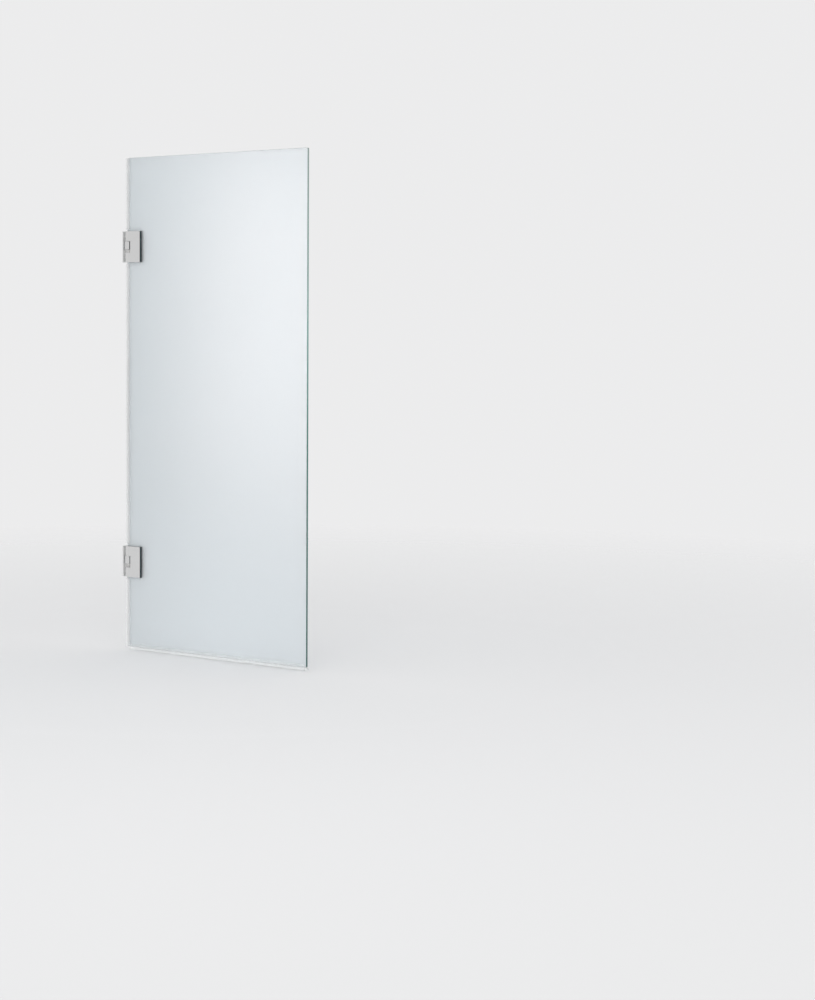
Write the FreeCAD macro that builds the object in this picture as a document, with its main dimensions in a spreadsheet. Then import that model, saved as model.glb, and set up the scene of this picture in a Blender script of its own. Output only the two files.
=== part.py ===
import FreeCAD, Part
import math
import os

import Sketcher
from FreeCAD import Vector

# A frameless bath screen: one toughened glass panel on two rise-and-fall wall hinges.
# Frame: X runs out from the mounting plane along the closed screen, Y points to the wet side,
# Z is up. The origin is the centre of the lower hinge's wall plate, on its back.

# Driving dimensions in millimetres and degrees. Heights inside a hinge are from its centre.
SIZES = {
    # glass panel
    "glass_width": 700,
    "glass_height": 1500,
    "glass_thickness": 8,
    "glass_edge": 12.5,           # mounting plane to the hinge edge of the glass
    "glass_arris": 0.6,           # ground and polished edge of the glass
    "glass_corner": 3,            # radius of the two free corners
    "hinge_from_top": 271,
    "hinge_from_bottom": 263,
    "cutout_gap": 1,              # glass cut-out to the pivot housing
    "ear_radius": 8,              # relief at the corners of the glass cut-out
    "ear_inset": 5,               # corner of the cut-out to the middle of its relief
    # wall plate and knuckle
    "pivot_from_wall": 20.5,
    "wall_plate_depth": 4.5,
    "wall_plate_width": 27.4,
    "wall_plate_bevel": 0.8,
    "wall_screw_spacing": 66,
    "wall_screw_hole": 5.4,
    "wall_screw_head": 9.6,
    "knuckle_width": 19.5,
    "knuckle_height": 23.5,
    "knuckle_top_gap": 1.05,
    "knuckle_seat_depth": 0.7,    # of the knuckle's root in the plate, which stops it turning
    "knuckle_screw_size": 5,
    "knuckle_screw_head": 8.5,
    "knuckle_screw_head_height": 2,
    "knuckle_screw_length": 12,
    # clamp
    "clamp_start": 13,
    "clamp_width": 59,
    "clamp_height": 95,
    "clamp_plate_depth": 8.5,
    "clamp_bevel": 0.8,
    "notch_depth": 18.5,
    "notch_height": 35.2,
    "housing_width": 22.5,
    "housing_height": 74,
    "split_gap": 0.4,             # between the two halves of the pivot housing
    "gasket_depth": 1,
    "gasket_inset": 0.3,
    "clamp_screw_size": 6,
    "clamp_screw_head": 10,
    "clamp_screw_head_height": 4,
    "clamp_thread_depth": 6,
    "screw_sink": 0.3,            # head below the face around it
    "thread_gap": 0.05,
    "thread_end_gap": 1.2,        # blind thread past the screw's end
    # pivot
    "pin_size": 8,
    "pin_across_flats": 6,
    "pin_end_gap": 0.7,           # from the end of its bore, screen lowered above, raised below
    "pin_collar_size": 9,
    "pin_collar_height": 2,
    "pin_collar_gap": 0.1,
    "running_gap": 0.05,
    "seat_gap": 0.05,
    "bush_size": 11,
    "guide_width": 11,
    "guide_end_gap": 0.5,
    "housing_floor": 2,
    "ring_groove_size": 6.6,
    "ring_size": 13.2,
    "ring_depth": 1,
    "ring_opening": 5.8,
    "ring_gap": 0.2,
    # rise cam
    "lift": 8,
    "swing": 90,
    "cam_sweep": 110,
    "cam_bore": 15,
    "cam_seat_depth": 15,
    "cam_base": 4,
    "cam_inner_size": 9.5,
    "cam_side_gap": 0.3,
    "cam_face_gap": 0.4,
    "cam_turn_gap": 2,            # degrees
    "cam_overlap": 1,             # degrees
    "cam_crest_drop": 0.3,
    "follower_seat": 6.4,
    "key_width": 3,
    "key_reach": 1.2,
    # seals
    "seal_wall": 1.2,
    "seal_web": 1.5,
    "seal_leg": 9,
    "seal_grip_gap": 0.05,
    "seal_wall_gap": 0.8,
    "seal_hinge_gap": 5,
    "seal_blade_lean": 1.6,
    "seal_joint_height": 100,
    "seal_joint_gap": 0.5,
    "bottom_seal_drop": 9,
    "bottom_seal_flare": 9,
    "bottom_seal_start_gap": 0.5,
}

doc = FreeCAD.newDocument("bath_screen")
sheet = doc.addObject("Spreadsheet::Sheet", "sizes")
for row, (alias, number) in enumerate(SIZES.items(), start=1):
    sheet.set(f"A{row}", alias)
    sheet.set(f"B{row}", str(number))
    sheet.setAlias(f"B{row}", alias)
doc.recompute()


class Size:
    """A length or angle: its number lays out a sketch, its formula binds the feature to the sheet."""

    def __init__(self, number, formula):
        self.number = float(number)
        self.formula = formula

    def combined(self, other, sign, work, swap=False):
        other = as_size(other)
        first, second = (other, self) if swap else (self, other)
        return Size(work(first.number, second.number), f"({first.formula} {sign} {second.formula})")

    def __add__(self, other):
        return self.combined(other, "+", lambda a, b: a + b)

    def __radd__(self, other):
        return self.combined(other, "+", lambda a, b: a + b, swap=True)

    def __sub__(self, other):
        return self.combined(other, "-", lambda a, b: a - b)

    def __rsub__(self, other):
        return self.combined(other, "-", lambda a, b: a - b, swap=True)

    def __mul__(self, other):
        return self.combined(other, "*", lambda a, b: a * b)

    def __rmul__(self, other):
        return self.combined(other, "*", lambda a, b: a * b, swap=True)

    def __truediv__(self, other):
        return self.combined(other, "/", lambda a, b: a / b)

    def __neg__(self):
        return self * -1


def as_size(value):
    return value if isinstance(value, Size) else Size(value, f"{value:.6g}")


class Sheet:
    """The sheet's cells by name, each as a Size."""

    def __getattr__(self, alias):
        return Size(SIZES[alias], f"sizes.{alias}")


s = Sheet()

# Places worked out from the driving dimensions.
glass_half = s.glass_thickness / 2
glass_bottom = -s.hinge_from_bottom
glass_top = glass_bottom + s.glass_height
glass_end = s.glass_edge + s.glass_width
hinge_spacing = s.glass_height - s.hinge_from_top - s.hinge_from_bottom

clamp_end = s.clamp_start + s.clamp_width
clamp_half_height = s.clamp_height / 2
clamp_inner_face = glass_half + s.gasket_depth
clamp_outer_face = clamp_inner_face + s.clamp_plate_depth
notch_end = s.clamp_start + s.notch_depth
notch_top = s.notch_height / 2
housing_end = s.clamp_start + s.housing_width
housing_top = s.housing_height / 2
cutout_end = housing_end + s.cutout_gap
cutout_top = housing_top + s.cutout_gap
ear_x = cutout_end + s.ear_inset
ear_z = cutout_top - s.ear_inset

knuckle_top = notch_top - s.knuckle_top_gap
knuckle_bottom = knuckle_top - s.knuckle_height
knuckle_root = s.wall_plate_depth - s.knuckle_seat_depth
cam_seat = knuckle_top - s.cam_seat_depth
knuckle_screw_height = (cam_seat + knuckle_bottom) / 2
ramp_low = cam_seat + s.cam_base
ramp_pitch = s.lift * 360 / s.swing
ramp_height = s.lift * s.cam_sweep / s.swing
ramp_high = ramp_low + ramp_height
follower_top = notch_top + s.follower_seat
bore_end = housing_top - s.housing_floor
ring_top = knuckle_bottom - s.ring_gap
cam_crest = ramp_high - s.cam_crest_drop
pin_top = bore_end - s.pin_end_gap
pin_bottom = s.lift + s.pin_end_gap - bore_end
pin_bore = s.pin_size + s.running_gap * 2
flats_bore = s.pin_across_flats + s.running_gap * 2

SOCKET_WIDTH_SHARE = 0.6          # a hexagon socket across its flats, of the screw's size
SOCKET_DEPTH_SHARE = 0.5
HEXAGON_CORNER = 2 / math.sqrt(3)

HINGES = (("lower", as_size(0)), ("upper", hinge_spacing))
nodes = {}


def new_body(label, height=0, x=0):
    """A body whose own frame stands at a hinge's height and, for what turns, on its pivot."""
    body = doc.addObject("PartDesign::Body", label)
    body.Label = label
    body.setExpression("Placement.Base.x", as_size(x).formula)
    body.setExpression("Placement.Base.z", as_size(height).formula)
    return body


def origin_feature(body, role):
    return next(item for item in body.Origin.OriginFeatures if item.Role == role)


def new_sketch(body, plane, offset=0):
    sketch = body.newObject("Sketcher::SketchObject", f"{body.Name}_sketch")
    sketch.AttachmentSupport = [(origin_feature(body, f"{plane}_Plane"), "")]
    sketch.MapMode = "FlatFace"
    offset = as_size(offset)
    sketch.AttachmentOffset = FreeCAD.Placement(Vector(0, 0, offset.number), FreeCAD.Rotation())
    sketch.setExpression("AttachmentOffset.Base.z", offset.formula)
    return sketch


def bind(sketch, kind, place, value):
    """Add one driving constraint and bind it to its formula."""
    index = sketch.addConstraint(Sketcher.Constraint(kind, *place, value.number))
    name = f"d{index}"
    sketch.renameConstraint(index, name)
    sketch.setExpression(f"Constraints.{name}", value.formula)


def fix_point(sketch, geometry, point, x, y):
    """Hold a point at x, y from the sketch's origin; a plain 0 puts it on the axis."""
    for value, kind, axis in ((x, "DistanceX", -2), (y, "DistanceY", -1)):
        if isinstance(value, Size):
            bind(sketch, kind, (-1, 1, geometry, point), value)
        else:
            sketch.addConstraint(Sketcher.Constraint("PointOnObject", geometry, point, axis))


def flat_vector(x, y):
    return Vector(as_size(x).number, as_size(y).number, 0)


def draw_outline(sketch, points):
    """A closed outline of straight lines."""
    vectors = [flat_vector(x, y) for x, y in points]
    count = len(points)
    first = sketch.GeometryCount
    for start, end in zip(vectors, vectors[1:] + vectors[:1]):
        sketch.addGeometry(Part.LineSegment(start, end), False)
    for index in range(count):
        following = first + (index + 1) % count
        sketch.addConstraint(Sketcher.Constraint("Coincident", first + index, 2, following, 1))
    for index, (x, y) in enumerate(points):
        fix_point(sketch, first + index, 1, x, y)


def draw_box(sketch, left, right, bottom, top):
    draw_outline(sketch, [(left, bottom), (right, bottom), (right, top), (left, top)])


def draw_circle(sketch, x, y, diameter):
    circle = Part.Circle(flat_vector(x, y), Vector(0, 0, 1), diameter.number / 2)
    index = sketch.addGeometry(circle, False)
    fix_point(sketch, index, 3, x, y)
    bind(sketch, "Diameter", (index,), diameter)


def draw_double_d(sketch, diameter, across_flats):
    """A circle about the origin with two flats, parallel to the sketch's X axis."""
    half_flat = across_flats / 2
    radius = diameter.number / 2
    angle = math.asin(half_flat.number / radius)
    reach = radius * math.cos(angle)
    circle = Part.Circle(Vector(0, 0, 0), Vector(0, 0, 1), radius)
    right = sketch.addGeometry(Part.ArcOfCircle(circle, -angle, angle), False)
    left = sketch.addGeometry(Part.ArcOfCircle(circle, math.pi - angle, math.pi + angle), False)
    for arc in (right, left):
        fix_point(sketch, arc, 3, 0, 0)
        bind(sketch, "Radius", (arc,), diameter / 2)
    for sign, right_point, left_point in ((1, 2, 1), (-1, 1, 2)):
        start = Vector(reach, sign * half_flat.number, 0)
        end = Vector(-reach, sign * half_flat.number, 0)
        line = sketch.addGeometry(Part.LineSegment(start, end), False)
        sketch.addConstraint(Sketcher.Constraint("Coincident", line, 1, right, right_point))
        sketch.addConstraint(Sketcher.Constraint("Coincident", line, 2, left, left_point))
        sketch.addConstraint(Sketcher.Constraint("Horizontal", line))
        bind(sketch, "DistanceY", (-1, 1, line, 1), half_flat * sign)


def on_circle(radius, angle):
    """The point at this clockwise angle in degrees, as two Sizes."""
    turn = math.radians(angle.number)
    x = Size(radius.number * math.cos(turn), f"({radius.formula} * cos({angle.formula}))")
    y = Size(-radius.number * math.sin(turn), f"(-1 * {radius.formula} * sin({angle.formula}))")
    return x, y


def draw_wedge(sketch, start, end, radius):
    """A sector about the origin between two clockwise angles, with straight sides."""
    middle = (start + end) / 2
    corners = [on_circle(radius, angle) for angle in (start, middle, end)]
    draw_outline(sketch, [(0, 0)] + corners)


def pad(body, sketch, length, reverse=False, both_ways=False):
    feature = body.newObject("PartDesign::Pad", f"{body.Name}_pad")
    feature.Profile = (sketch, [""])
    feature.Reversed = reverse
    feature.SideType = "Symmetric" if both_ways else "One side"
    feature.setExpression("Length", length.formula)
    doc.recompute()
    return feature


def check_cut(body, feature, before):
    """A cut that points away from the solid removes nothing, so the volumes are compared."""
    doc.recompute()
    if not feature.Shape.Volume < before - 1e-6:
        raise RuntimeError(f"{feature.Name} in {body.Name} cuts nothing")
    return feature


def pocket(body, sketch, length=None, reverse=False, both_ways=False):
    """Cut to a length, or right through where no length is given."""
    before = body.Tip.Shape.Volume
    feature = body.newObject("PartDesign::Pocket", f"{body.Name}_pocket")
    feature.Profile = (sketch, [""])
    feature.Reversed = reverse
    feature.SideType = "Symmetric" if both_ways else "One side"
    if length is None:
        feature.Type = "ThroughAll"
    else:
        feature.setExpression("Length", length.formula)
    return check_cut(body, feature, before)


def repeat_about_z(body, feature, count):
    before = body.Tip.Shape.Volume
    pattern = body.newObject("PartDesign::PolarPattern", f"{body.Name}_pattern")
    pattern.Originals = [feature]
    pattern.Axis = (origin_feature(body, "Z_Axis"), [""])
    pattern.Angle = 360
    pattern.Occurrences = count
    body.Tip = pattern
    return check_cut(body, pattern, before)


def dress(body, kind, size, chosen):
    """Chamfer or fillet the edges that a test picks from the body so far."""
    base = body.Tip
    names = [f"Edge{index}" for index, edge in enumerate(base.Shape.Edges, start=1) if chosen(edge)]
    if not names:
        raise RuntimeError(f"no edge to dress in {body.Name}")
    feature = body.newObject(f"PartDesign::{kind}", f"{body.Name}_{kind.lower()}")
    feature.Base = (base, names)
    feature.setExpression("Size" if kind == "Chamfer" else "Radius", size.formula)
    doc.recompute()
    return feature


def lies_on(edge, axis, place):
    """True where the whole edge lies in the plane at this place along the axis."""
    box = edge.BoundBox
    low = (box.XMin, box.YMin, box.ZMin)[axis]
    high = (box.XMax, box.YMax, box.ZMax)[axis]
    return abs(low - place) < 1e-4 and abs(high - place) < 1e-4


def is_circle(edge, diameter):
    curve = edge.Curve
    return isinstance(curve, Part.Circle) and abs(curve.Radius - diameter.number / 2) < 1e-4


def revolve(body, sketch):
    feature = body.newObject("PartDesign::Revolution", f"{body.Name}_revolution")
    feature.Profile = (sketch, [""])
    feature.ReferenceAxis = (sketch, ["V_Axis"])
    feature.Angle = 360
    doc.recompute()
    return feature


# The glass and its seals.

def make_glass_panel():
    """Toughened glass: rounded free corners, ground edges, and a cut-out for each hinge."""
    body = new_body("glass_panel")
    sketch = new_sketch(body, "XZ")
    draw_box(sketch, s.glass_edge, glass_end, glass_bottom, glass_top)
    pad(body, sketch, s.glass_thickness, both_ways=True)
    box = body.Tip.Shape.BoundBox
    dress(body, "Fillet", s.glass_corner, lambda edge: (
        lies_on(edge, 0, box.XMax) and (lies_on(edge, 2, box.ZMin) or lies_on(edge, 2, box.ZMax))))
    dress(body, "Chamfer", s.glass_arris, lambda edge: (
        lies_on(edge, 1, box.YMin) or lies_on(edge, 1, box.YMax)))
    for _, height in HINGES:
        sketch = new_sketch(body, "XZ")
        start = s.glass_edge - s.glass_thickness
        draw_box(sketch, start, cutout_end, height - cutout_top, height + cutout_top)
        pocket(body, sketch, both_ways=True)
        sketch = new_sketch(body, "XZ")
        for side in (1, -1):
            draw_circle(sketch, ear_x, height + ear_z * side, s.ear_radius * 2)
        pocket(body, sketch, both_ways=True)
    nodes["glass_panel"] = body


def make_wall_seal(label, bottom, top):
    """A clear strip gripping the hinge edge of the glass, with a leaning blade."""
    body = new_body(label)
    grip = glass_half + s.seal_grip_gap
    outside = grip + s.seal_wall
    web_inside = s.glass_edge - s.seal_grip_gap
    web_outside = web_inside - s.seal_web
    leg_end = s.glass_edge + s.seal_leg
    half_blade = s.seal_wall / 2
    tip = s.seal_wall_gap
    sketch = new_sketch(body, "XY", bottom)
    draw_outline(sketch, [
        (leg_end, grip), (web_inside, grip), (web_inside, -grip), (leg_end, -grip),
        (leg_end, -outside), (web_outside, -outside), (web_outside, -half_blade),
        (tip, s.seal_blade_lean - half_blade), (tip, s.seal_blade_lean + half_blade),
        (web_outside, half_blade), (web_outside, outside), (leg_end, outside)])
    pad(body, sketch, top - bottom)
    nodes[label] = body


def make_wall_seals():
    seal_end = clamp_half_height + s.seal_hinge_gap
    joint = glass_bottom + s.seal_joint_height
    make_wall_seal("wall_seal_foot", glass_bottom, joint)
    make_wall_seal("wall_seal_bottom", joint + s.seal_joint_gap, -seal_end)
    make_wall_seal("wall_seal_middle", seal_end, hinge_spacing - seal_end)
    make_wall_seal("wall_seal_top", hinge_spacing + seal_end, glass_top)


def make_bottom_seal():
    """A clear strip under the glass: an upright blade and, on the wet side, a flared drip lip."""
    body = new_body("bottom_seal")
    grip = glass_half + s.seal_grip_gap
    outside = grip + s.seal_wall
    web_inside = glass_bottom - s.seal_grip_gap
    web_outside = web_inside - s.seal_web
    leg_end = glass_bottom + s.seal_leg
    foot = glass_bottom - s.bottom_seal_drop
    blade_inside = s.seal_wall - outside
    lip_end = outside + s.bottom_seal_flare
    start = s.glass_edge + s.seal_leg + s.bottom_seal_start_gap
    sketch = new_sketch(body, "YZ", start)
    draw_outline(sketch, [
        (grip, leg_end), (grip, web_inside), (-grip, web_inside), (-grip, leg_end),
        (-outside, leg_end), (-outside, foot), (blade_inside, foot), (blade_inside, web_outside),
        (outside - s.seal_wall, web_outside), (lip_end - s.seal_wall, foot),
        (lip_end, foot + s.seal_wall / 2), (outside, web_inside), (outside, leg_end)])
    pad(body, sketch, glass_end - s.glass_corner - start)
    nodes["bottom_seal"] = body


# One hinge. Every piece is drawn about the hinge's centre and stands at the hinge's height.

def make_screw(label, size, head, head_height, length):
    """A cap screw along Z: its head's face is at z = 0, with a hexagon socket, and its end is below."""
    body = new_body(label)
    sketch = new_sketch(body, "XZ")
    draw_outline(sketch, [
        (0, 0), (head / 2, 0), (head / 2, -head_height), (size / 2, -head_height),
        (size / 2, -length), (0, -length)])
    revolve(body, sketch)
    sketch = new_sketch(body, "XY")
    half = size * SOCKET_WIDTH_SHARE / 2
    corner = half * HEXAGON_CORNER
    draw_outline(sketch, [
        (corner, 0), (corner / 2, half), (-corner / 2, half),
        (-corner, 0), (-corner / 2, -half), (corner / 2, -half)])
    pocket(body, sketch, size * SOCKET_DEPTH_SHARE)
    return body


def group(label, members):
    """The same piece of both hinges in one node, each a solid of its own."""
    compound = doc.addObject("Part::Compound", label)
    compound.Label = label
    compound.Links = members
    doc.recompute()
    return compound


def place(body, x, y, z, rotation):
    body.Placement = FreeCAD.Placement(Vector(0, 0, 0), rotation)
    for axis, value in (("x", x), ("y", y), ("z", z)):
        body.setExpression(f"Placement.Base.{axis}", as_size(value).formula)


def make_wall_plate(label, height):
    """Countersunk for two wall screws, with the knuckle's seat in front and its screw's behind."""
    body = new_body(label, height)
    half_width = s.wall_plate_width / 2
    sketch = new_sketch(body, "YZ")
    draw_box(sketch, -half_width, half_width, -clamp_half_height, clamp_half_height)
    pad(body, sketch, s.wall_plate_depth)
    front = body.Tip.Shape.BoundBox.XMax
    dress(body, "Chamfer", s.wall_plate_bevel, lambda edge: lies_on(edge, 0, front))
    sketch = new_sketch(body, "YZ")
    for side in (1, -1):
        draw_circle(sketch, 0, s.wall_screw_spacing / 2 * side, s.wall_screw_hole)
    pocket(body, sketch, reverse=True)
    countersink = (s.wall_screw_head - s.wall_screw_hole) / 2
    dress(body, "Chamfer", countersink, lambda edge: (
        lies_on(edge, 0, front) and is_circle(edge, s.wall_screw_hole)))
    half_seat = s.knuckle_width / 2 + s.seat_gap
    sketch = new_sketch(body, "YZ", s.wall_plate_depth)
    draw_box(sketch, -half_seat, half_seat, knuckle_bottom - s.seat_gap, knuckle_top + s.seat_gap)
    pocket(body, sketch, s.knuckle_seat_depth)
    counterbore = s.knuckle_screw_head_height + s.screw_sink
    for diameter, depth in ((s.knuckle_screw_size, None), (s.knuckle_screw_head, counterbore)):
        sketch = new_sketch(body, "YZ")
        draw_circle(sketch, 0, knuckle_screw_height, diameter + s.thread_gap * 2)
        pocket(body, sketch, depth, reverse=True)
    return body


def make_wall_knuckle(label, height):
    """The fixed arm: a slab with a half-round nose about the pivot, bored for the cam and the bush."""
    body = new_body(label, height)
    half_width = s.knuckle_width / 2
    sketch = new_sketch(body, "XY", knuckle_bottom)
    draw_box(sketch, knuckle_root, s.pivot_from_wall, -half_width, half_width)
    pad(body, sketch, s.knuckle_height)
    sketch = new_sketch(body, "XY", knuckle_bottom)
    draw_circle(sketch, s.pivot_from_wall, 0, s.knuckle_width)
    pad(body, sketch, s.knuckle_height)
    sketch = new_sketch(body, "XY", cam_seat)
    draw_circle(sketch, s.pivot_from_wall, 0, s.cam_bore)
    pocket(body, sketch, s.cam_seat_depth, reverse=True)
    sketch = new_sketch(body, "XY", cam_seat)
    key_end = s.pivot_from_wall - s.cam_bore / 2 - s.key_reach
    draw_box(sketch, key_end, s.pivot_from_wall, -s.key_width / 2, s.key_width / 2)
    pocket(body, sketch, s.cam_seat_depth, reverse=True)
    sketch = new_sketch(body, "XY", knuckle_bottom)
    draw_circle(sketch, s.pivot_from_wall, 0, s.bush_size + s.seat_gap * 2)
    pocket(body, sketch, s.knuckle_height, reverse=True)
    sketch = new_sketch(body, "YZ", knuckle_root)
    draw_circle(sketch, 0, knuckle_screw_height, s.knuckle_screw_size + s.thread_gap * 2)
    depth = s.screw_sink + s.knuckle_screw_length + s.thread_end_gap - knuckle_root
    pocket(body, sketch, depth, reverse=True)
    return body


def make_knuckle_screw(label, height):
    """It enters from the plate's back, under the cam's seat."""
    head_to_wall = FreeCAD.Rotation(Vector(0, 1, 0), -90)
    screw = make_screw(label, s.knuckle_screw_size, s.knuckle_screw_head,
                       s.knuckle_screw_head_height, s.knuckle_screw_length)
    place(screw, s.screw_sink, 0, height + knuckle_screw_height, head_to_wall)
    return screw


def make_knuckle_bush(label, height):
    body = new_body(label, height, s.pivot_from_wall)
    sketch = new_sketch(body, "XY", knuckle_bottom)
    draw_circle(sketch, 0, 0, s.bush_size)
    draw_circle(sketch, 0, 0, s.pin_size + s.running_gap * 2)
    pad(body, sketch, cam_seat - knuckle_bottom)
    return body


def cut_ramp(body, low, high):
    """Sweep a rectangle down the swing's turn and up the lift, twice: it leaves a ramp's face."""
    sketch = new_sketch(body, "XZ")
    draw_box(sketch, s.pin_size / 2 - s.cam_side_gap, s.cam_bore / 2 + s.cam_side_gap, low, high)
    before = body.Tip.Shape.Volume
    feature = body.newObject("PartDesign::SubtractiveHelix", f"{body.Name}_ramp")
    feature.Profile = (sketch, [""])
    feature.ReferenceAxis = (sketch, ["V_Axis"])
    feature.Mode = "pitch-turns-angle"
    feature.LeftHanded = True
    feature.setExpression("Pitch", ramp_pitch.formula)
    feature.setExpression("Turns", (s.cam_sweep / 360).formula)
    check_cut(body, feature, before)
    repeat_about_z(body, feature, 2)


def make_fixed_cam(label, height):
    """The ring in the knuckle: two helical ramps that lift the screen as it swings."""
    body = new_body(label, height, s.pivot_from_wall)
    outer = s.cam_bore - s.seat_gap * 2
    sketch = new_sketch(body, "XY", cam_seat)
    draw_circle(sketch, 0, 0, outer)
    draw_circle(sketch, 0, 0, s.cam_inner_size)
    pad(body, sketch, cam_crest - cam_seat)
    cut_ramp(body, ramp_low, ramp_high + s.cam_face_gap)
    sketch = new_sketch(body, "XY", cam_seat)
    key_end = outer / 2 + s.key_reach
    half_key = s.key_width / 2 - s.seat_gap
    draw_box(sketch, -key_end, -(s.cam_inner_size / 2 + s.cam_side_gap), -half_key, half_key)
    pad(body, sketch, s.cam_base - s.seat_gap)
    return body


def make_follower_cam(label, height):
    """The ring held in the clamp's upper arm: its two teeth rest on the fixed ramps."""
    body = new_body(label, height, s.pivot_from_wall)
    outer = s.cam_bore - s.cam_side_gap * 2
    bottom = ramp_low + s.cam_face_gap
    sketch = new_sketch(body, "XY", bottom)
    draw_circle(sketch, 0, 0, outer)
    draw_double_d(sketch, pin_bore, flats_bore)
    pad(body, sketch, follower_top - s.seat_gap - bottom)
    cut_ramp(body, bottom - ramp_height - s.cam_face_gap, bottom)
    sketch = new_sketch(body, "XY", bottom)
    draw_wedge(sketch, s.cam_sweep - s.cam_overlap, 180 + s.cam_turn_gap, s.cam_bore)
    relief = pocket(body, sketch, ramp_height, reverse=True)
    repeat_about_z(body, relief, 2)
    sketch = new_sketch(body, "XY", notch_top)
    half_key = s.key_width / 2 - s.seat_gap
    draw_box(sketch, s.pin_size / 2 + s.key_reach, outer / 2 + s.key_reach, -half_key, half_key)
    pad(body, sketch, s.follower_seat - s.seat_gap)
    return body


def make_hinge_pin(label, height):
    """It turns in the knuckle's bush, hangs on its collar, and its flat ends slide in the clamp."""
    body = new_body(label, height, s.pivot_from_wall)
    sketch = new_sketch(body, "XY", pin_bottom)
    draw_double_d(sketch, s.pin_size, s.pin_across_flats)
    pad(body, sketch, pin_top - pin_bottom)
    journal_bottom = ring_top - s.ring_depth * 2
    collar_bottom = cam_seat + s.pin_collar_gap
    collar_top = collar_bottom + s.pin_collar_height
    sketch = new_sketch(body, "XY", journal_bottom)
    draw_circle(sketch, 0, 0, s.pin_size)
    pad(body, sketch, collar_top - journal_bottom)
    sketch = new_sketch(body, "XY", collar_bottom)
    draw_circle(sketch, 0, 0, s.pin_collar_size)
    pad(body, sketch, s.pin_collar_height)
    sketch = new_sketch(body, "XY", ring_top - s.ring_depth - s.running_gap)
    draw_circle(sketch, 0, 0, s.ring_size)
    draw_circle(sketch, 0, 0, s.ring_groove_size)
    pocket(body, sketch, s.ring_depth + s.running_gap * 2, reverse=True)
    return body


def make_retaining_ring(label, height):
    """A split ring in the pin's groove, under the knuckle."""
    body = new_body(label, height, s.pivot_from_wall)
    sketch = new_sketch(body, "XY", ring_top - s.ring_depth)
    draw_circle(sketch, 0, 0, s.ring_size)
    draw_circle(sketch, 0, 0, s.ring_groove_size + s.seat_gap * 2)
    pad(body, sketch, s.ring_depth)
    sketch = new_sketch(body, "XY", ring_top - s.ring_depth)
    draw_box(sketch, 0, s.ring_size, -s.ring_opening / 2, s.ring_opening / 2)
    pocket(body, sketch, s.ring_depth, reverse=True)
    return body


def make_pin_guide(label, height, low, high):
    """A square guide in one of the clamp's arms, with a bore that fits the pin's flats."""
    half = s.guide_width / 2
    body = new_body(label, height, s.pivot_from_wall)
    sketch = new_sketch(body, "XY", low)
    draw_box(sketch, -half, half, -half, half)
    draw_double_d(sketch, pin_bore, flats_bore)
    pad(body, sketch, high - low)
    return body


def make_top_pin_guide(label, height):
    return make_pin_guide(label, height, follower_top, bore_end - s.guide_end_gap)


def make_bottom_pin_guide(label, height):
    return make_pin_guide(label, height, s.guide_end_gap - bore_end, -notch_top)


def make_clamp(label, height, side):
    """Half of the clamp: a notched plate on the glass and, in the cut-out, half the pivot housing.

    The outer half has side -1 and blind threads, the inner half side 1 and counterbored holes.
    """
    outer = side < 0
    body = new_body(label, height)
    split = s.split_gap / 2
    sketch = new_sketch(body, "XZ", split * -side)
    draw_outline(sketch, [
        (s.clamp_start, notch_top), (notch_end, notch_top), (notch_end, -notch_top),
        (s.clamp_start, -notch_top), (s.clamp_start, -housing_top), (housing_end, -housing_top),
        (housing_end, housing_top), (s.clamp_start, housing_top)])
    pad(body, sketch, clamp_outer_face - split, reverse=not outer)
    sketch = new_sketch(body, "XZ", clamp_inner_face * -side)
    draw_outline(sketch, [
        (s.clamp_start, notch_top), (notch_end, notch_top), (notch_end, -notch_top),
        (s.clamp_start, -notch_top), (s.clamp_start, -clamp_half_height),
        (clamp_end, -clamp_half_height), (clamp_end, clamp_half_height),
        (s.clamp_start, clamp_half_height)])
    pad(body, sketch, s.clamp_plate_depth, reverse=not outer)
    box = body.Tip.Shape.BoundBox
    face = box.YMin if outer else box.YMax
    dress(body, "Chamfer", s.clamp_bevel, lambda edge: lies_on(edge, 1, face))

    # channels for the two square guides, and the round seat of the follower cam
    half = s.guide_width / 2
    channel = half - split
    for low, high in ((follower_top, bore_end), (-bore_end, -notch_top)):
        sketch = new_sketch(body, "XZ", split * -side)
        draw_box(sketch, s.pivot_from_wall - half, s.pivot_from_wall + half, low, high)
        pocket(body, sketch, channel, reverse=outer)
    sketch = new_sketch(body, "XY", notch_top)
    seat = s.cam_bore - s.cam_side_gap * 2 + s.seat_gap * 2
    draw_circle(sketch, s.pivot_from_wall, 0, seat)
    pocket(body, sketch, s.follower_seat, reverse=True)
    sketch = new_sketch(body, "XY", notch_top)
    key_end = s.pivot_from_wall + seat / 2 + s.key_reach
    draw_box(sketch, s.pivot_from_wall, key_end, -s.key_width / 2, s.key_width / 2)
    pocket(body, sketch, s.follower_seat, reverse=True)

    # fixings, inside the corner reliefs of the glass cut-out
    sketch = new_sketch(body, "XZ", clamp_inner_face * -side)
    for end in (1, -1):
        draw_circle(sketch, ear_x, ear_z * end, s.clamp_screw_size + s.thread_gap * 2)
    pocket(body, sketch, s.clamp_thread_depth if outer else None, reverse=outer)
    if not outer:
        sketch = new_sketch(body, "XZ", -clamp_outer_face)
        for end in (1, -1):
            draw_circle(sketch, ear_x, ear_z * end, s.clamp_screw_head + s.thread_gap * 2)
        pocket(body, sketch, s.clamp_screw_head_height + s.screw_sink, reverse=True)
    return body


def make_outer_clamp(label, height):
    return make_clamp(label, height, -1)


def make_inner_clamp(label, height):
    return make_clamp(label, height, 1)


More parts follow.
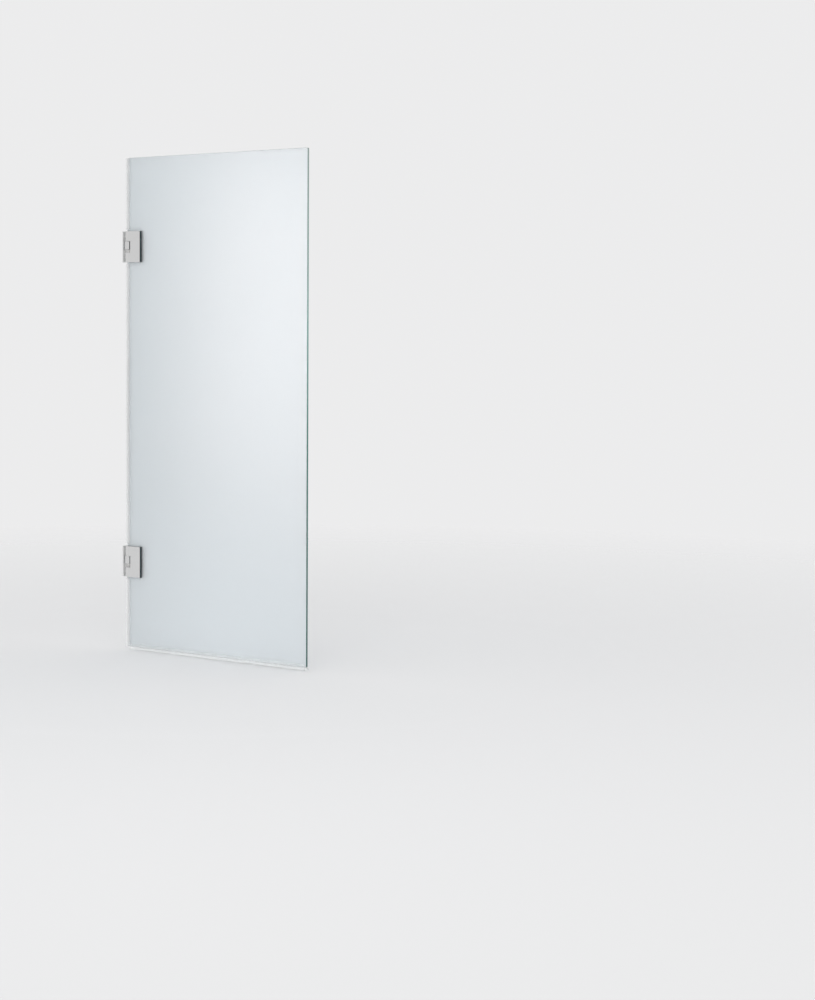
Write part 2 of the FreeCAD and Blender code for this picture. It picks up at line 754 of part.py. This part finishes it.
def make_gasket(label, height, side):
    """A sheet between a clamp plate and the glass, open where the glass is cut out."""
    body = new_body(label, height)
    start = s.clamp_start + s.gasket_inset
    end = clamp_end - s.gasket_inset
    top = clamp_half_height - s.gasket_inset
    opening_end = ear_x + s.ear_radius
    opening_top = ear_z + s.ear_radius
    sketch = new_sketch(body, "XZ", glass_half * -side)
    draw_outline(sketch, [
        (start, top), (start, opening_top), (opening_end, opening_top), (opening_end, -opening_top),
        (start, -opening_top), (start, -top), (end, -top), (end, top)])
    pad(body, sketch, s.gasket_depth, reverse=side > 0)
    return body


def make_outer_gasket(label, height):
    return make_gasket(label, height, -1)


def make_inner_gasket(label, height):
    return make_gasket(label, height, 1)


def make_clamp_screws(label, height):
    """They enter from the wet side, so the dry side's face stays plain."""
    reach = clamp_outer_face + clamp_inner_face + s.clamp_thread_depth - s.thread_end_gap
    head_inwards = FreeCAD.Rotation(Vector(1, 0, 0), -90)
    screws = []
    for end in (1, -1):
        screw = make_screw(f"{label}_{len(screws)}", s.clamp_screw_size, s.clamp_screw_head,
                           s.clamp_screw_head_height, reach - s.screw_sink)
        place(screw, ear_x, clamp_outer_face - s.screw_sink, height + ear_z * end, head_inwards)
        screws.append(screw)
    return screws


# The plates, clamps and gaskets of each hinge have nodes of their own.
SINGLE_PIECES = {
    "wall_plate": make_wall_plate,
    "outer_clamp": make_outer_clamp,
    "inner_clamp": make_inner_clamp,
    "outer_gasket": make_outer_gasket,
    "inner_gasket": make_inner_gasket,
}

# The same small or hidden piece of both hinges shares a node.
PAIRED_PIECES = {
    "wall_knuckles": make_wall_knuckle,
    "knuckle_screws": make_knuckle_screw,
    "knuckle_bushes": make_knuckle_bush,
    "fixed_cams": make_fixed_cam,
    "follower_cams": make_follower_cam,
    "hinge_pins": make_hinge_pin,
    "retaining_rings": make_retaining_ring,
    "top_pin_guides": make_top_pin_guide,
    "bottom_pin_guides": make_bottom_pin_guide,
    "clamp_screws": make_clamp_screws,
}

make_glass_panel()
make_wall_seals()
make_bottom_seal()
for label, make in SINGLE_PIECES.items():
    for hinge, height in HINGES:
        nodes[f"{hinge}_{label}"] = make(f"{hinge}_{label}", height)
for label, make in PAIRED_PIECES.items():
    members = []
    for hinge, height in HINGES:
        made = make(f"{hinge}_{label}", height)
        members += made if isinstance(made, list) else [made]
    nodes[label] = group(label, members)
doc.recompute()

for item in doc.Objects:
    if "Invalid" in item.State or "Error" in item.State:
        raise RuntimeError(f"{item.Label} failed: {item.State}")
for label, item in nodes.items():
    if item.Shape.isNull() or not item.Shape.isValid():
        raise RuntimeError(f"{label} has no valid shape")

os.makedirs("parts", exist_ok=True)
for label, item in nodes.items():
    item.Shape.exportStep(f"parts/{label}.step")
print(f"{len(nodes)} nodes written")
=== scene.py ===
import bpy
import math
from mathutils import Matrix, Vector

# Looks of a frameless frosted bath screen on two square chrome hinges.
# Metres; X out from the mounting plane along the closed screen, Y to the wet side, Z up.

# Camera
CAMERA_PLACE = Vector((4.4731, -4.7888, 0.7087))
CAMERA_AZIMUTH = math.radians(35.429)
CAMERA_PITCH = math.radians(-2.5)
CAMERA_ROLL = math.radians(0.299)
CAMERA_LENS = 75.98
CAMERA_SENSOR = 36.0
CAMERA_SHIFT = -0.0754
CAMERA_REACH = 100.0

# Glass
GLASS_IOR = 1.5
GLASS_TRANSMISSION = 0.55
GLASS_TONES = (0.86, 0.90, 0.92, 1), (0.90, 0.925, 0.94, 1)
GLASS_ROUGHNESS = 0.5, 0.62
GLASS_FOOT = -0.263
GLASS_TOP = 1.237
ETCHED_FROM = 0.0036              # beyond this depth the glass is an etched face, within it an edge
GLASS_EDGE_ROUGHNESS = 0.12
HINGE_EDGE_TONE = (0.50, 0.56, 0.55, 1)
HINGE_EDGE_FADE = 0.03, 0.08      # in X, from the hinge edge's tone to the free edge's
FREE_EDGE_TINT_AND_PAINTED_LIGHT = (                # share of the way up, and the tone there: the edge's green tint, with painted light making it lighter towards the top
    (0.0, (0.035, 0.12, 0.113, 1)),
    (0.42, (0.08, 0.21, 0.185, 1)),
    (0.65, (0.25, 0.44, 0.405, 1)),
    (1.0, (0.33, 0.41, 0.385, 1)),
)

# Seals
SEAL_IOR = 1.45
SEAL_ROUGHNESS = 0.22, 0.34
WALL_SEAL_TONE = (0.95, 0.955, 0.955)
WALL_SEAL_ALPHA = 0.42
BOTTOM_SEAL_TONE = (0.93, 0.95, 0.95)
BOTTOM_SEAL_ALPHA = 0.2

# Chrome
CHROME_IOR = 2.3
CHROME_TONE = (0.805, 0.81, 0.816)
CHROME_ROUGHNESS = 0.07, 0.13
SATIN_CHROME_TONE = (0.92, 0.92, 0.915)
SATIN_CHROME_ROUGHNESS = 0.42, 0.54
SATIN_CHROME_METALLIC = 0.55
# Painted dark reflection: this dark tone goes into the outer clamps' colour on faces turned out along X and
# up, in place of the dark surroundings their chrome mirrors
PAINTED_REFLECTION_TONE = (0.085, 0.105, 0.112, 1)
PAINTED_REFLECTION_OUTWARD = 0.5, 0.9            # share of the normal along X over which a face takes the painted dark reflection
PAINTED_REFLECTION_UPWARD = 0.8, 0.95            # the same along Z

# Rounding of the CAD nodes' edges
EDGE_ROUNDING = 0.0002
SHARP_FROM = math.radians(50)
FLAT_WITHIN = math.radians(0.5)
WELD_WITHIN = 1e-6

# Floor
FLOOR_PLACE = (0.36, 0, -0.275)
FLOOR_RADIUS = 6.0
FLOOR_TONE = (0.93, 0.93, 0.935, 1)
FLOOR_ROUGHNESS = 0.9
FLOOR_FADE = 1.2, 4.5             # distances between which the floor gives way to the background
FLOOR_FADE_IN_GLOSS = 0.85        # share of the floor that gloss doesn't see

# What the studio shows to each kind of ray
BACKGROUND_TONE = (0.84, 0.84, 0.845, 1)
BEHIND_GLASS_TONE = (0.62, 0.675, 0.70, 1)
LIGHT_TONE = (0.80, 0.805, 0.81, 1)
PALE_GLOSS = (0.735, 0.73, 0.725, 1)
DARK_GLOSS = (0.035, 0.045, 0.05, 1)
DARK_SIDE = Vector((0.766, -0.643, 0.0))
DARK_BETWEEN = 0.60, 0.77         # cosines to the dark side, from pale to dark

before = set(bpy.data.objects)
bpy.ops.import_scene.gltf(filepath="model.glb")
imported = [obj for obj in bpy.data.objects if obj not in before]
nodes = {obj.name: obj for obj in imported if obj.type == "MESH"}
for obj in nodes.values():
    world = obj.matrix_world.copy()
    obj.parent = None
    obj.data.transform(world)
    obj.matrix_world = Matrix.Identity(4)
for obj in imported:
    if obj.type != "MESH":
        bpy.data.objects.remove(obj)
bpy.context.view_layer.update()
scene = bpy.context.scene


class Nodes:
    """A node tree, with short ways to add and join its nodes."""

    def __init__(self, tree):
        self.tree = tree

    def feed(self, value, socket):
        """Give a socket a constant, or what another node puts out."""
        if isinstance(value, bpy.types.NodeSocket):
            self.tree.links.new(value, socket)
        else:
            socket.default_value = value

    def add(self, kind, inputs=None, **settings):
        node = self.tree.nodes.new(kind)
        for name, value in settings.items():
            setattr(node, name, value)
        for name, value in (inputs or {}).items():
            self.feed(value, node.inputs[name])
        return node

    def calculate(self, operation, *values):
        return self.add("ShaderNodeMath", dict(enumerate(values)), operation=operation).outputs[0]

    def choose(self, factor, first, second):
        """The first shader where the factor is 0, the second where it is 1."""
        return self.add("ShaderNodeMixShader", {"Fac": factor, 1: first, 2: second}).outputs[0]

    def spread(self, value, low=0.0, high=1.0, between=(0.3, 0.7), **settings):
        """Map a value's span between two levels onto a range."""
        start, end = between
        inputs = {"Value": value, "From Min": start, "From Max": end, "To Min": low, "To Max": high}
        return self.add("ShaderNodeMapRange", inputs, **settings).outputs["Result"]


class Shader(Nodes):
    """A node material, built up from a principled surface."""

    def __init__(self, name):
        self.material = bpy.data.materials.new(name)
        self.material.use_nodes = True
        super().__init__(self.material.node_tree)
        self.surface = self.tree.nodes["Principled BSDF"]
        self.coordinates = self.add("ShaderNodeTexCoord").outputs

    def set(self, **values):
        for name, value in values.items():
            self.feed(value, self.surface.inputs[name.replace("_", " ")])

    def show(self, shader):
        self.feed(shader, self.tree.nodes["Material Output"].inputs["Surface"])

    def split(self, coordinates):
        return self.add("ShaderNodeSeparateXYZ", {"Vector": self.coordinates[coordinates]}).outputs

    def noise(self, scale, detail=2.0, stretch=(1, 1, 1)):
        mapping = self.add("ShaderNodeMapping", {"Vector": self.coordinates["Object"], "Scale": stretch})
        inputs = {"Vector": mapping.outputs["Vector"], "Scale": scale, "Detail": detail}
        return self.add("ShaderNodeTexNoise", inputs).outputs["Fac"]

    def blend(self, factor, first, second):
        inputs = {"Factor": factor, "A": first, "B": second}
        return self.add("ShaderNodeMix", inputs, data_type="RGBA").outputs["Result"]

    def bump(self, height, strength, distance):
        bump = self.add("ShaderNodeBump", {"Height": height, "Strength": strength, "Distance": distance})
        self.set(Normal=bump.outputs["Normal"])


def around(tone, share):
    """Two colours, this share darker and lighter than the tone."""
    return [tuple(part * side for part in tone) + (1,) for side in (1 - share, 1 + share)]


def make_chrome(name, tone, roughness, metallic=1.0, painted_reflection=None):
    """Chrome plate. A painted dark reflection darkens the colour of faces by their own normals: up, and
    away along X.
    """
    shader = Shader(name)
    color = shader.blend(shader.noise(scale=22.0, detail=3.0), *around(tone, share=0.03))
    # painted dark reflection: faces turned out along X or up take the dark tone in their base colour
    if painted_reflection:
        normal = shader.split("Normal")
        outward = shader.spread(normal["X"], between=PAINTED_REFLECTION_OUTWARD)
        upward = shader.spread(normal["Z"], between=PAINTED_REFLECTION_UPWARD)
        color = shader.blend(shader.calculate("MAXIMUM", outward, upward), color, painted_reflection)
    shader.set(Metallic=metallic, IOR=CHROME_IOR, Base_Color=color,
               Roughness=shader.spread(shader.noise(scale=60.0, detail=4.0), *roughness))
    shader.bump(shader.noise(scale=9.0, detail=1.0), strength=0.05, distance=0.0004)
    return shader.material


def make_satin_glass():
    """Glass with etched faces, and polished edges tinted by the glass behind them; the free edge's tint
    carries painted light, lighter towards the top.
    """
    shader = Shader("satin_glass")
    shader.set(IOR=GLASS_IOR, Transmission_Weight=GLASS_TRANSMISSION,
               Base_Color=shader.blend(shader.noise(scale=1.3, detail=1.0), *GLASS_TONES),
               Roughness=shader.spread(shader.noise(scale=900.0), *GLASS_ROUGHNESS))
    shader.bump(shader.noise(scale=2400.0), strength=0.15, distance=0.00005)

    place = shader.split("Object")
    way_up = shader.spread(place["Z"], between=(GLASS_FOOT, GLASS_TOP))
    # painted light: the free edge's tint grows lighter towards the top, as light from above would make it
    ramp = shader.add("ShaderNodeValToRGB", {"Fac": way_up})
    stops = ramp.color_ramp.elements
    stops.remove(stops[1])
    stops[0].position, stops[0].color = FREE_EDGE_TINT_AND_PAINTED_LIGHT[0]
    for share, tone in FREE_EDGE_TINT_AND_PAINTED_LIGHT[1:]:
        stops.new(share).color = tone
    free_side = shader.spread(place["X"], between=HINGE_EDGE_FADE)
    edge = shader.add("ShaderNodeBsdfPrincipled", {
        "Base Color": shader.blend(free_side, HINGE_EDGE_TONE, ramp.outputs["Color"]),
        "Roughness": GLASS_EDGE_ROUGHNESS, "IOR": GLASS_IOR})
    etched = shader.calculate("GREATER_THAN", shader.calculate("ABSOLUTE", place["Y"]), ETCHED_FROM)
    shader.show(shader.choose(etched, edge.outputs["BSDF"], shader.surface.outputs["BSDF"]))
    return shader.material


def make_clear_seal(name, tone, alpha):
    """Clear PVC, with the fine streaks of a drawn strip."""
    shader = Shader(name)
    along = shader.noise(scale=120.0, stretch=(1, 1, 0.05))
    shader.set(IOR=SEAL_IOR, Alpha=alpha,
               Base_Color=shader.blend(shader.noise(scale=14.0), *around(tone, share=0.025)),
               Roughness=shader.spread(along, *SEAL_ROUGHNESS))
    return shader.material


def make_plain(name, tones, roughness, metallic=0.0, scale=80.0, stretch=(1, 1, 1)):
    """A plain finish, with finer noise in its roughness than in its tone, and finer still in its bumps."""
    shader = Shader(name)
    shader.set(Metallic=metallic,
               Base_Color=shader.blend(shader.noise(scale, 3.0, stretch), *tones),
               Roughness=shader.spread(shader.noise(scale * 3, 2.0, stretch), *roughness))
    shader.bump(shader.noise(scale * 6, 2.0, stretch), strength=0.1, distance=0.00005)
    return shader.material


def make_materials():
    """Each material, by the endings of the nodes that have it."""
    return {
        ("glass_panel",): make_satin_glass(),
        ("bottom_seal",): make_clear_seal("clear_bottom_seal", BOTTOM_SEAL_TONE, BOTTOM_SEAL_ALPHA),
        ("seal_foot", "seal_bottom", "seal_middle", "seal_top"):
            make_clear_seal("clear_wall_seal", WALL_SEAL_TONE, WALL_SEAL_ALPHA),
        ("gasket",): make_plain("gasket_rubber", ((0.14, 0.145, 0.15, 1), (0.19, 0.195, 0.20, 1)),
                                roughness=(0.6, 0.75)),
        # the outer clamps carry a painted dark reflection on faces turned out along X and up
        ("outer_clamp",): make_chrome("chrome_with_painted_reflection", CHROME_TONE, CHROME_ROUGHNESS, painted_reflection=PAINTED_REFLECTION_TONE),
        ("inner_clamp", "_knuckles"): make_chrome("polished_chrome", CHROME_TONE, CHROME_ROUGHNESS),
        ("_plate",): make_chrome("satin_chrome", SATIN_CHROME_TONE, SATIN_CHROME_ROUGHNESS,
                                 SATIN_CHROME_METALLIC),
        ("screws", "pins", "rings"):
            make_plain("turned_steel", ((0.50, 0.50, 0.49, 1), (0.60, 0.60, 0.59, 1)),
                       roughness=(0.22, 0.34), metallic=1.0, stretch=(1, 1, 8)),
        ("bushes", "cams", "guides"):
            make_plain("natural_acetal", ((0.78, 0.77, 0.73, 1), (0.84, 0.83, 0.80, 1)),
                       roughness=(0.42, 0.52)),
    }


def soften(piece, width):
    """Round a CAD node's sharp edges a little, and shade its curved faces smooth."""
    piece.data.shade_smooth()
    weld = piece.modifiers.new("weld", "WELD")
    weld.merge_threshold = WELD_WITHIN
    flat = piece.modifiers.new("flat", "DECIMATE")
    flat.decimate_type = "DISSOLVE"
    flat.angle_limit = FLAT_WITHIN
    bevel = piece.modifiers.new("bevel", "BEVEL")
    bevel.width = width
    bevel.segments = 2
    bevel.limit_method = "ANGLE"
    bevel.angle_limit = SHARP_FROM
    shade = piece.modifiers.new("shade", "WEIGHTED_NORMAL")
    shade.weight = 50


def dress(name, node, materials):
    """Give a CAD node the one material whose endings fit its name."""
    material, = (made for endings, made in materials.items() if name.endswith(endings))
    node.data.materials.clear()
    node.data.materials.append(material)


def make_floor():
    """A pale floor that keeps the object's shadow and gives way to the background."""
    bpy.ops.mesh.primitive_circle_add(vertices=128, radius=FLOOR_RADIUS, fill_type="NGON",
                                      location=FLOOR_PLACE)
    floor = bpy.context.object
    floor.name = "studio_floor"
    shader = Shader("studio_floor")
    shader.set(Roughness=FLOOR_ROUGHNESS, Base_Color=FLOOR_TONE)
    distance = shader.add("ShaderNodeVectorMath", {0: shader.coordinates["Object"]}, operation="LENGTH")
    far = shader.spread(distance.outputs["Value"], between=FLOOR_FADE)
    in_gloss = shader.add("ShaderNodeLightPath").outputs["Is Glossy Ray"]
    fade = shader.calculate("MAXIMUM", far, shader.calculate("MULTIPLY", in_gloss, FLOOR_FADE_IN_GLOSS))
    gone = shader.add("ShaderNodeBsdfTransparent").outputs["BSDF"]
    shader.show(shader.choose(fade, shader.surface.outputs["BSDF"], gone))
    floor.data.materials.append(shader.material)


def make_world():
    """An even pale studio. Gloss also picks up a dark side, behind the camera and a little to its right."""
    world = bpy.data.worlds.new("studio")
    world.use_nodes = True
    studio = Nodes(world.node_tree)

    def even(color):
        return studio.add("ShaderNodeBackground", {"Color": color}).outputs["Background"]

    direction = studio.add("ShaderNodeTexCoord").outputs["Generated"]
    towards_dark = studio.add("ShaderNodeVectorMath", {0: direction, 1: DARK_SIDE},
                              operation="DOT_PRODUCT").outputs["Value"]
    dark = studio.spread(towards_dark, between=DARK_BETWEEN, interpolation_type="SMOOTHSTEP")
    rays = studio.add("ShaderNodeLightPath").outputs
    glossy = studio.choose(dark, even(PALE_GLOSS), even(DARK_GLOSS))
    shown = studio.choose(rays["Is Glossy Ray"], even(LIGHT_TONE), glossy)
    shown = studio.choose(rays["Is Transmission Ray"], shown, even(BEHIND_GLASS_TONE))
    shown = studio.choose(rays["Is Camera Ray"], shown, even(BACKGROUND_TONE))
    studio.feed(shown, studio.tree.nodes["World Output"].inputs["Surface"])
    scene.world = world


def make_lamp(name, place, target, width, height, power, color=(1, 1, 1), spread=180):
    data = bpy.data.lights.new(name, "AREA")
    data.shape = "RECTANGLE"
    data.size = width
    data.size_y = height
    data.energy = power
    data.color = color
    data.spread = math.radians(spread)
    lamp = bpy.data.objects.new(name, data)
    scene.collection.objects.link(lamp)
    lamp.location = place
    lamp.visible_camera = False
    aim = Vector(target) - Vector(place)
    lamp.rotation_mode = "QUATERNION"
    lamp.rotation_quaternion = aim.to_track_quat("-Z", "Y")
    return lamp


def make_lamps():
    """A soft key, and two lamps that even out the glass and light nothing but the part."""
    make_lamp("key", place=(2.2, -2.6, 2.6), target=(0.36, 0, 0.5), width=2.2, height=2.2, power=14)
    glow = make_lamp("glow", place=(-0.26, 1.25, 0.78), target=(0.64, 0, 0.62),
                     width=0.6, height=1.5, power=2.05, color=(1.0, 0.90, 0.88), spread=100)
    foot = make_lamp("foot", place=(0.5, -0.7, -0.12), target=(0.45, 0, -0.24),
                     width=0.8, height=0.12, power=0.5, color=(0.97, 0.97, 1.0), spread=90)
    foot.visible_transmission = False    # or it shows through the glass from behind
    part_only = bpy.data.collections.new("part_only")
    for node in nodes.values():
        part_only.objects.link(node)
    for lamp in (glow, foot):
        lamp.visible_glossy = False
        lamp.light_linking.receiver_collection = part_only


def make_camera():
    data = bpy.data.cameras.new("camera")
    data.lens = CAMERA_LENS
    data.sensor_width = CAMERA_SENSOR
    data.shift_y = CAMERA_SHIFT
    data.clip_end = CAMERA_REACH
    camera = bpy.data.objects.new("camera", data)
    scene.collection.objects.link(camera)
    camera.location = CAMERA_PLACE
    camera.rotation_mode = "QUATERNION"
    turn = Matrix.Rotation(CAMERA_AZIMUTH, 4, "Z")
    tilt = Matrix.Rotation(math.pi / 2 + CAMERA_PITCH, 4, "X")
    roll = Matrix.Rotation(CAMERA_ROLL, 4, "Z")
    camera.rotation_quaternion = (turn @ tilt @ roll).to_quaternion()
    scene.camera = camera


materials = make_materials()
for name, node in nodes.items():
    dress(name, node, materials)
    if name != "glass_panel":
        soften(node, EDGE_ROUNDING)

make_floor()
make_world()
make_lamps()
make_camera()
scene.view_settings.view_transform = "Standard"
